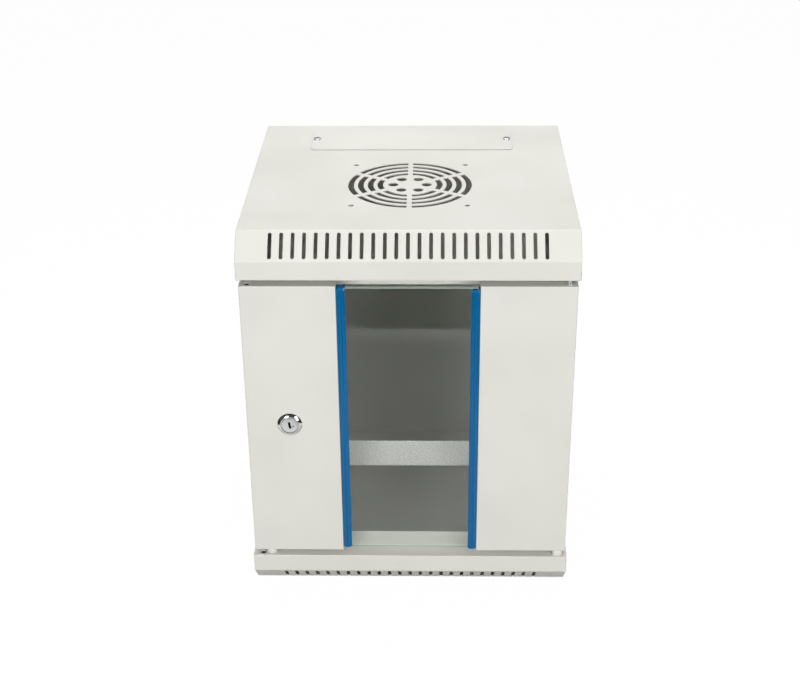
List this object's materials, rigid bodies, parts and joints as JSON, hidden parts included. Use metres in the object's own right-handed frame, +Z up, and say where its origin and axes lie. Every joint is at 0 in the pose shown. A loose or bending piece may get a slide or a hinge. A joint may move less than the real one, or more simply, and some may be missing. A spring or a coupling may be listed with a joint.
{
  "type": "wall mount network cabinet",
  "caption": "Small ten-inch wall cabinet for network equipment, with a hinged glass and steel door, cam lock, vented caps with a fan grille, rack rails and cable entries.",
  "frame": {"origin": "centre of the cabinet's flat underside", "axes": "+X to the right seen from the front, +Y to the rear (towards the wall), +Z up; the door is on the -Y side"},
  "size_m": [0.3, 0.303, 0.3705],
  "materials": {
    "powder_coat": "light grey powder coat, fine texture, satin",
    "galvanised_steel": "galvanised, faint spangle",
    "zinc_hardware": "bright zinc plate",
    "chrome_plate": "polished chrome on die casting",
    "blue_trim": "extruded plastic, semi-gloss",
    "clear_glass": "clear toughened glass, ground edges",
    "white_nylon": "moulded nylon"
  },
  "bodies": {
    "cabinet": {"back_panel": "powder_coat", "bar_nuts": "galvanised_steel", "bar_screws": "zinc_hardware", "bottom_cap": "powder_coat", "bottom_cover_screws": "zinc_hardware", "bottom_entry_cover": "powder_coat", "bottom_hinge_pin": "zinc_hardware", "earth_nut": "galvanised_steel", "earth_stud": "galvanised_steel", "hinge_spacer": "white_nylon", "left_lower_bracket": "powder_coat", "left_rack_rail": "galvanised_steel", "left_side_panel": "powder_coat", "left_upper_bracket": "powder_coat", "rail_nuts": "galvanised_steel", "rail_screws": "zinc_hardware", "right_lower_bracket": "powder_coat", "right_rack_rail": "galvanised_steel", "right_side_panel": "powder_coat", "right_upper_bracket": "powder_coat", "support_bar": "galvanised_steel", "top_cap": "powder_coat", "top_cover_screws": "zinc_hardware", "top_entry_cover": "powder_coat"},
    "door": {"door_left_panel": "powder_coat", "door_right_panel": "powder_coat", "door_glass": "clear_glass", "left_glass_trim": "blue_trim", "right_glass_trim": "blue_trim", "hinge_pin_bracket": "powder_coat", "hinge_pin_spring": "zinc_hardware", "door_glide": "white_nylon", "lock_housing": "chrome_plate", "lock_nut": "galvanised_steel"},
    "lock_core": {"lock_plug": "chrome_plate", "lock_cam": "galvanised_steel", "lock_cam_screw": "zinc_hardware"},
    "hinge_pin": {"top_hinge_pin": "zinc_hardware"}
  },
  "joints": [
    {"name": "door_swing", "type": "hinge", "parent": "cabinet", "child": "door", "pos_m": [0.141, -0.1446, 0.185], "axis": [0, 0, 1], "range_deg": [0, 180]},
    {"name": "lock_turn", "type": "hinge", "parent": "door", "child": "lock_core", "pos_m": [-0.1089, -0.14, 0.1846], "axis": [0, 1, 0], "range_deg": [0, 90]},
    {"name": "hinge_pin_slide", "type": "slide", "parent": "door", "child": "hinge_pin", "axis": [0, 0, 1], "range_m": [-0.006, 0], "stiffness_N_per_m": 250, "springref_m": 0.01, "deforming": ["hinge_pin_spring"]}
  ]
}
